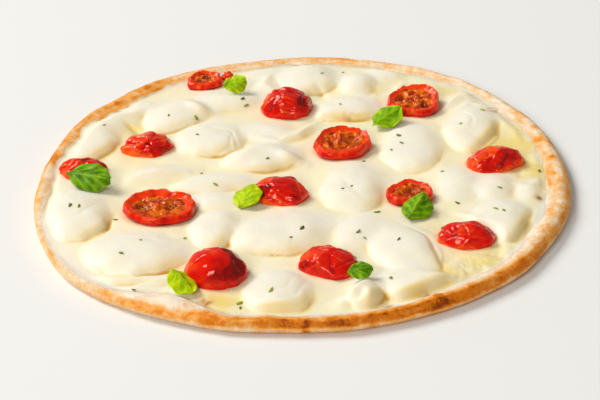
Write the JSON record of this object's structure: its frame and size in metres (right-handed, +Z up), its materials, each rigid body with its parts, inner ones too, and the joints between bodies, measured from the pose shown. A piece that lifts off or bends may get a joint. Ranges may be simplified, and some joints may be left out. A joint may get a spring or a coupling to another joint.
{
  "type": "margherita pizza",
  "caption": "Round thin-crust pizza with a raised uneven rim, melted cheese, mozzarella mounds, roasted cherry tomato halves, basil leaves and herb flakes.",
  "frame": {"origin": "on the flat underside of the base, in the middle of the whole object's bounding box", "axes": "+Z up, out of the face with the toppings; -Y towards the side nearest the viewer in the picture; +X to that viewer's right"},
  "size_m": [0.296, 0.2982, 0.0221],
  "materials": {
    "baked_dough": "matte",
    "melted_cheese": "satin",
    "mozzarella": "satin",
    "tomato": "glossy",
    "basil": "satin"
  },
  "bodies": {
    "root": {"crust": "baked_dough", "cheese_sheet": "melted_cheese", "mozzarella_01": "mozzarella", "mozzarella_02": "mozzarella", "mozzarella_03": "mozzarella", "mozzarella_04": "mozzarella", "mozzarella_05": "mozzarella", "mozzarella_06": "mozzarella", "mozzarella_07": "mozzarella", "mozzarella_08": "mozzarella", "mozzarella_09": "mozzarella", "mozzarella_10": "mozzarella", "mozzarella_11": "mozzarella", "mozzarella_12": "mozzarella", "mozzarella_13": "mozzarella", "mozzarella_14": "mozzarella", "mozzarella_15": "mozzarella", "mozzarella_16": "mozzarella", "mozzarella_17": "mozzarella", "mozzarella_18": "mozzarella", "mozzarella_19": "mozzarella", "mozzarella_20": "mozzarella", "mozzarella_21": "mozzarella", "mozzarella_22": "mozzarella", "mozzarella_23": "mozzarella", "mozzarella_24": "mozzarella", "mozzarella_25": "mozzarella", "mozzarella_26": "mozzarella", "mozzarella_27": "mozzarella", "mozzarella_28": "mozzarella", "mozzarella_29": "mozzarella", "mozzarella_30": "mozzarella", "mozzarella_31": "mozzarella", "mozzarella_32": "mozzarella", "mozzarella_33": "mozzarella", "tomato_01": "tomato", "tomato_02": "tomato", "tomato_03": "tomato", "tomato_04": "tomato", "tomato_05": "tomato", "tomato_06": "tomato", "tomato_07": "tomato", "tomato_08": "tomato", "tomato_09": "tomato", "tomato_10": "tomato", "tomato_11": "tomato", "tomato_12": "tomato", "tomato_13": "tomato", "tomato_14": "tomato", "basil_01": "basil", "basil_02": "basil", "basil_03": "basil", "basil_04": "basil", "basil_05": "basil", "basil_06": "basil", "basil_07": "basil"}
  },
  "joints": []
}
